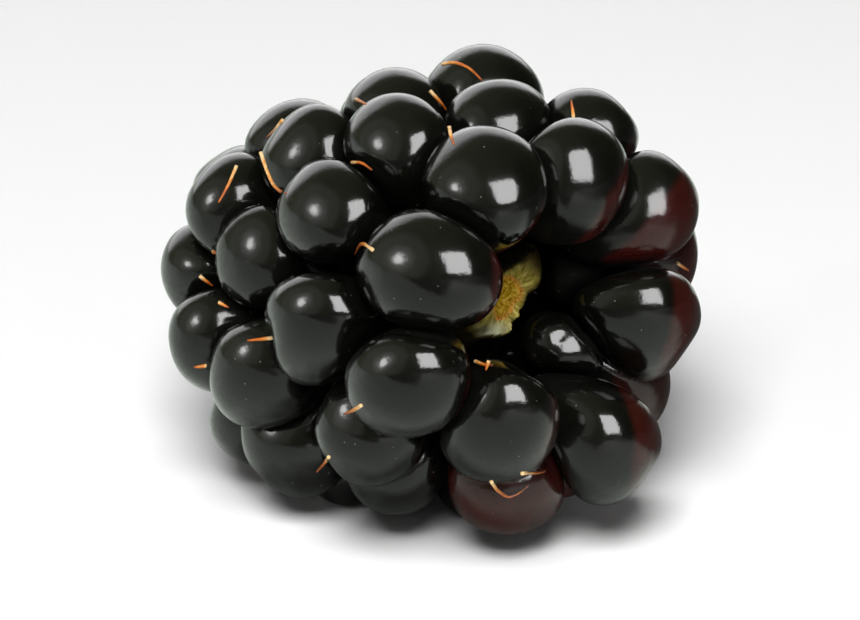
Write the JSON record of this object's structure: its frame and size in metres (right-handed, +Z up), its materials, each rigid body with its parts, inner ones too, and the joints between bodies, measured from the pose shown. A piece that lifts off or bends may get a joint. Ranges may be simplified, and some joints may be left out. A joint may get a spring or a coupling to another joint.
{
  "type": "bramble berry",
  "caption": "Ripe bramble berry lying on its side, plump black drupelets packed round a pale receptacle whose torn end shows in the hollow at the stem.",
  "frame": {"origin": "on the surface that the berry rests on, under the middle of its box", "axes": "+Z up; +X towards the stem end, which is tipped up from the surface; +Y across the fruit"},
  "size_m": [0.0242, 0.0228, 0.0211],
  "materials": {
    "black_skin": "thin shiny skin over black-purple juice",
    "blushed_skin": "thin shiny skin, still reddish brown on its sunward side",
    "receptacle_flesh": "pale yellow-green fibrous flesh, matt",
    "dried_style": "dry orange-brown thread, matt"
  },
  "bodies": {
    "root": {"receptacle": "receptacle_flesh", "hollow_drupelet_1": "black_skin", "hollow_drupelet_2": "black_skin", "stem_drupelet_1": "black_skin", "stem_drupelet_2": "black_skin", "stem_drupelet_3": "blushed_skin", "stem_drupelet_4": "blushed_skin", "stem_drupelet_5": "blushed_skin", "stem_drupelet_6": "black_skin", "stem_drupelet_7": "black_skin", "stem_drupelet_8": "black_skin", "shoulder_drupelet_1": "black_skin", "shoulder_drupelet_2": "black_skin", "shoulder_drupelet_3": "black_skin", "shoulder_drupelet_4": "blushed_skin", "shoulder_drupelet_5": "black_skin", "shoulder_drupelet_6": "blushed_skin", "shoulder_drupelet_7": "black_skin", "shoulder_drupelet_8": "black_skin", "shoulder_drupelet_9": "black_skin", "shoulder_drupelet_10": "black_skin", "shoulder_drupelet_11": "black_skin", "waist_drupelet_1": "black_skin", "waist_drupelet_2": "black_skin", "waist_drupelet_3": "black_skin", "waist_drupelet_4": "black_skin", "waist_drupelet_5": "black_skin", "waist_drupelet_6": "black_skin", "waist_drupelet_7": "black_skin", "waist_drupelet_8": "black_skin", "waist_drupelet_9": "black_skin", "waist_drupelet_10": "black_skin", "waist_drupelet_11": "black_skin", "flank_drupelet_1": "black_skin", "flank_drupelet_2": "black_skin", "flank_drupelet_3": "black_skin", "flank_drupelet_4": "black_skin", "flank_drupelet_5": "black_skin", "flank_drupelet_6": "black_skin", "flank_drupelet_7": "black_skin", "flank_drupelet_8": "black_skin", "flank_drupelet_9": "black_skin", "flank_drupelet_10": "black_skin", "nose_drupelet_1": "black_skin", "nose_drupelet_2": "black_skin", "nose_drupelet_3": "black_skin", "nose_drupelet_4": "black_skin", "nose_drupelet_5": "black_skin", "nose_drupelet_6": "black_skin", "nose_drupelet_7": "black_skin", "nose_drupelet_8": "black_skin", "nose_drupelet_9": "black_skin", "tip_drupelet_1": "black_skin", "tip_drupelet_2": "black_skin", "tip_drupelet_3": "black_skin"}
  },
  "joints": []
}
